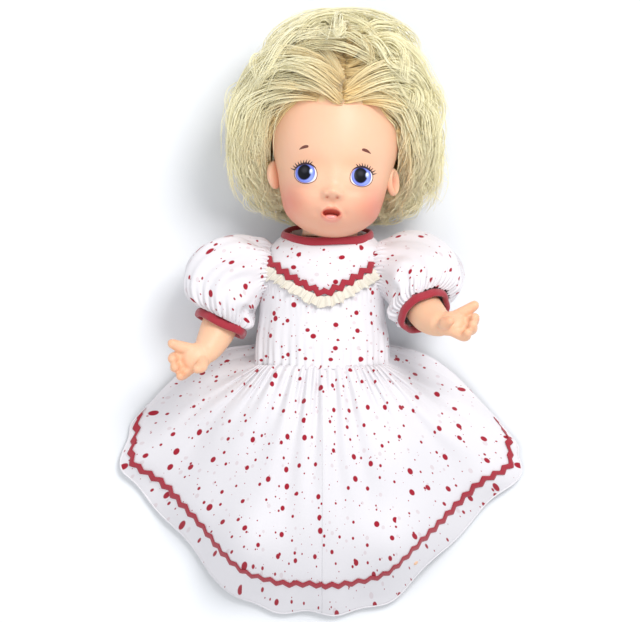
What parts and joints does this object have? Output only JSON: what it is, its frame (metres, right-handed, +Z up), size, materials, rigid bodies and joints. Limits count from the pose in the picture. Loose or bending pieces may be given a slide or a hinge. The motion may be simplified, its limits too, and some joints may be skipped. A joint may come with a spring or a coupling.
{
  "type": "interactive baby doll",
  "caption": "Battery feeding baby doll in a dotted dress, lying on its back, with a geared mouth mechanism, turning head, swinging arms and legs, switch and tummy button.",
  "frame": {"origin": "middle of the outline on the surface the doll lies on", "axes": "+Z up, the way the face looks; +Y towards the crown; +X towards the doll's left hand"},
  "size_m": [0.2632, 0.3872, 0.1103],
  "materials": {
    "head_shell": "soft matt vinyl",
    "hair": "rooted fibre",
    "neck_spool": "satin",
    "mechanism_base": "satin",
    "gear_plate_left": "satin",
    "gear_plate_right": "satin",
    "motor": "plated",
    "motor_pinion": "machined",
    "idler_gear": "satin",
    "cam_gear": "satin",
    "idler_shaft": "ground",
    "cam_shaft": "ground",
    "lever_shaft": "ground",
    "chew_lever": "satin",
    "mouth_cup": "satin",
    "tongue": "gloss",
    "feed_tube_head": "clear tube",
    "feed_tube_body": "clear tube",
    "torso_front": "satin",
    "torso_back": "satin",
    "battery_box": "satin",
    "battery_door": "satin",
    "battery_1": "gloss",
    "battery_2": "gloss",
    "contact_plus": "nickel plated",
    "contact_minus": "nickel plated",
    "door_screw": "zinc plated",
    "switch_housing": "satin",
    "power_switch": "satin",
    "speaker": "satin",
    "circuit_board": "lacquered board",
    "tummy_button": "satin",
    "button_spring": "spring wire",
    "outlet_bush": "satin",
    "motor_wire": "insulated wire",
    "shoulder_axle": "ground",
    "hip_axle": "ground",
    "shoulder_carrier": "satin",
    "hip_carrier": "satin",
    "left_arm": "soft matt vinyl",
    "right_arm": "soft matt vinyl",
    "left_leg": "soft matt vinyl",
    "right_leg": "soft matt vinyl",
    "left_cuff": "bias binding",
    "right_cuff": "bias binding",
    "left_sleeve": "dotted voile",
    "right_sleeve": "dotted voile",
    "dress_bodice": "dotted voile",
    "skirt_front": "dotted voile",
    "skirt_back": "dotted voile",
    "collar_binding": "bias binding",
    "back_snap_1": "plated",
    "back_snap_2": "plated",
    "yoke_rickrack": "woven braid",
    "yoke_ruffle": "lace-edged ruffle",
    "hem_rickrack": "woven braid",
    "body_screw_1": "zinc plated",
    "body_screw_2": "zinc plated",
    "body_screw_3": "zinc plated",
    "body_screw_4": "zinc plated"
  },
  "bodies": {
    "torso": {"feed_tube_body": "feed_tube_body", "torso_front": "torso_front", "torso_back": "torso_back", "battery_box": "battery_box", "battery_door": "battery_door", "battery_1": "battery_1", "battery_2": "battery_2", "contact_plus": "contact_plus", "contact_minus": "contact_minus", "door_screw": "door_screw", "switch_housing": "switch_housing", "speaker": "speaker", "circuit_board": "circuit_board", "button_spring": "button_spring", "outlet_bush": "outlet_bush", "motor_wire": "motor_wire", "shoulder_axle": "shoulder_axle", "hip_axle": "hip_axle", "shoulder_carrier": "shoulder_carrier", "hip_carrier": "hip_carrier", "dress_bodice": "dress_bodice", "skirt_front": "skirt_front", "skirt_back": "skirt_back", "collar_binding": "collar_binding", "back_snap_1": "back_snap_1", "back_snap_2": "back_snap_2", "yoke_rickrack": "yoke_rickrack", "yoke_ruffle": "yoke_ruffle", "hem_rickrack": "hem_rickrack", "body_screw_1": "body_screw_1", "body_screw_2": "body_screw_2", "body_screw_3": "body_screw_3", "body_screw_4": "body_screw_4"},
    "head": {"head_shell": "head_shell", "hair": "hair", "neck_spool": "neck_spool", "mechanism_base": "mechanism_base", "gear_plate_left": "gear_plate_left", "gear_plate_right": "gear_plate_right", "motor": "motor", "idler_shaft": "idler_shaft", "cam_shaft": "cam_shaft", "lever_shaft": "lever_shaft", "mouth_cup": "mouth_cup", "tongue": "tongue", "feed_tube_head": "feed_tube_head"},
    "left_arm": {"left_arm": "left_arm", "left_cuff": "left_cuff", "left_sleeve": "left_sleeve"},
    "left_leg": {"left_leg": "left_leg"},
    "right_arm": {"right_arm": "right_arm", "right_cuff": "right_cuff", "right_sleeve": "right_sleeve"},
    "right_leg": {"right_leg": "right_leg"},
    "motor_pinion": {"motor_pinion": "motor_pinion"},
    "idler_gear": {"idler_gear": "idler_gear"},
    "cam_gear": {"cam_gear": "cam_gear"},
    "chew_lever": {"chew_lever": "chew_lever"},
    "power_switch": {"power_switch": "power_switch"},
    "tummy_button": {"tummy_button": "tummy_button"}
  },
  "joints": [
    {"name": "neck_turn", "type": "hinge", "parent": "torso", "child": "head", "pos_m": [0.005, 0.05, 0.041], "axis": [0.0593, 0.9982, 0], "range_deg": [-60, 60], "deforming": ["motor_wire"]},
    {"name": "left_shoulder_swing", "type": "hinge", "parent": "torso", "child": "left_arm", "pos_m": [0.0445, 0.031, 0.0375], "axis": [1, 0, 0], "range_deg": [-50, 60], "deforming": ["left_sleeve"]},
    {"name": "right_shoulder_swing", "type": "hinge", "parent": "torso", "child": "right_arm", "pos_m": [-0.0445, 0.031, 0.0375], "axis": [1, 0, 0], "range_deg": [-90, 20], "deforming": ["right_sleeve"]},
    {"name": "left_hip_swing", "type": "hinge", "parent": "torso", "child": "left_leg", "pos_m": [0.0285, -0.064, 0.0325], "axis": [1, 0, 0], "range_deg": [-85, 0], "deforming": ["skirt_front", "hem_rickrack"]},
    {"name": "right_hip_swing", "type": "hinge", "parent": "torso", "child": "right_leg", "pos_m": [-0.0285, -0.064, 0.0325], "axis": [1, 0, 0], "range_deg": [-85, 0], "deforming": ["skirt_front", "hem_rickrack"]},
    {"name": "chew_swing", "type": "hinge", "parent": "head", "child": "chew_lever", "pos_m": [0.00678, 0.07995, 0.071], "axis": [0.9982, -0.0593, 0], "range_deg": [-5, 5], "stiffness_Nm_per_rad": 0.02},
    {"name": "motor_turn", "type": "hinge", "parent": "head", "child": "motor_pinion", "pos_m": [0.00891, 0.11588, 0.04], "axis": [0.9982, -0.0593, 0], "continuous": true},
    {"name": "idler_turn", "type": "hinge", "parent": "head", "child": "idler_gear", "pos_m": [0.00821, 0.10402, 0.04813], "axis": [0.9982, -0.0593, 0], "continuous": true},
    {"name": "cam_turn", "type": "hinge", "parent": "head", "child": "cam_gear", "pos_m": [0.00741, 0.09052, 0.05307], "axis": [0.9982, -0.0593, 0], "continuous": true},
    {"name": "power_slide", "type": "slide", "parent": "torso", "child": "power_switch", "axis": [0, 1, 0], "range_m": [0, 0.004]},
    {"name": "tummy_press", "type": "slide", "parent": "torso", "child": "tummy_button", "axis": [0, 0, -1], "range_m": [0, 0.002], "stiffness_N_per_m": 600, "springref_m": -0.0004, "deforming": ["button_spring"]}
  ],
  "couplings": [
    {"joint": "idler_turn", "follows": "cam_turn", "ratio": -3},
    {"joint": "motor_turn", "follows": "cam_turn", "ratio": 9}
  ]
}
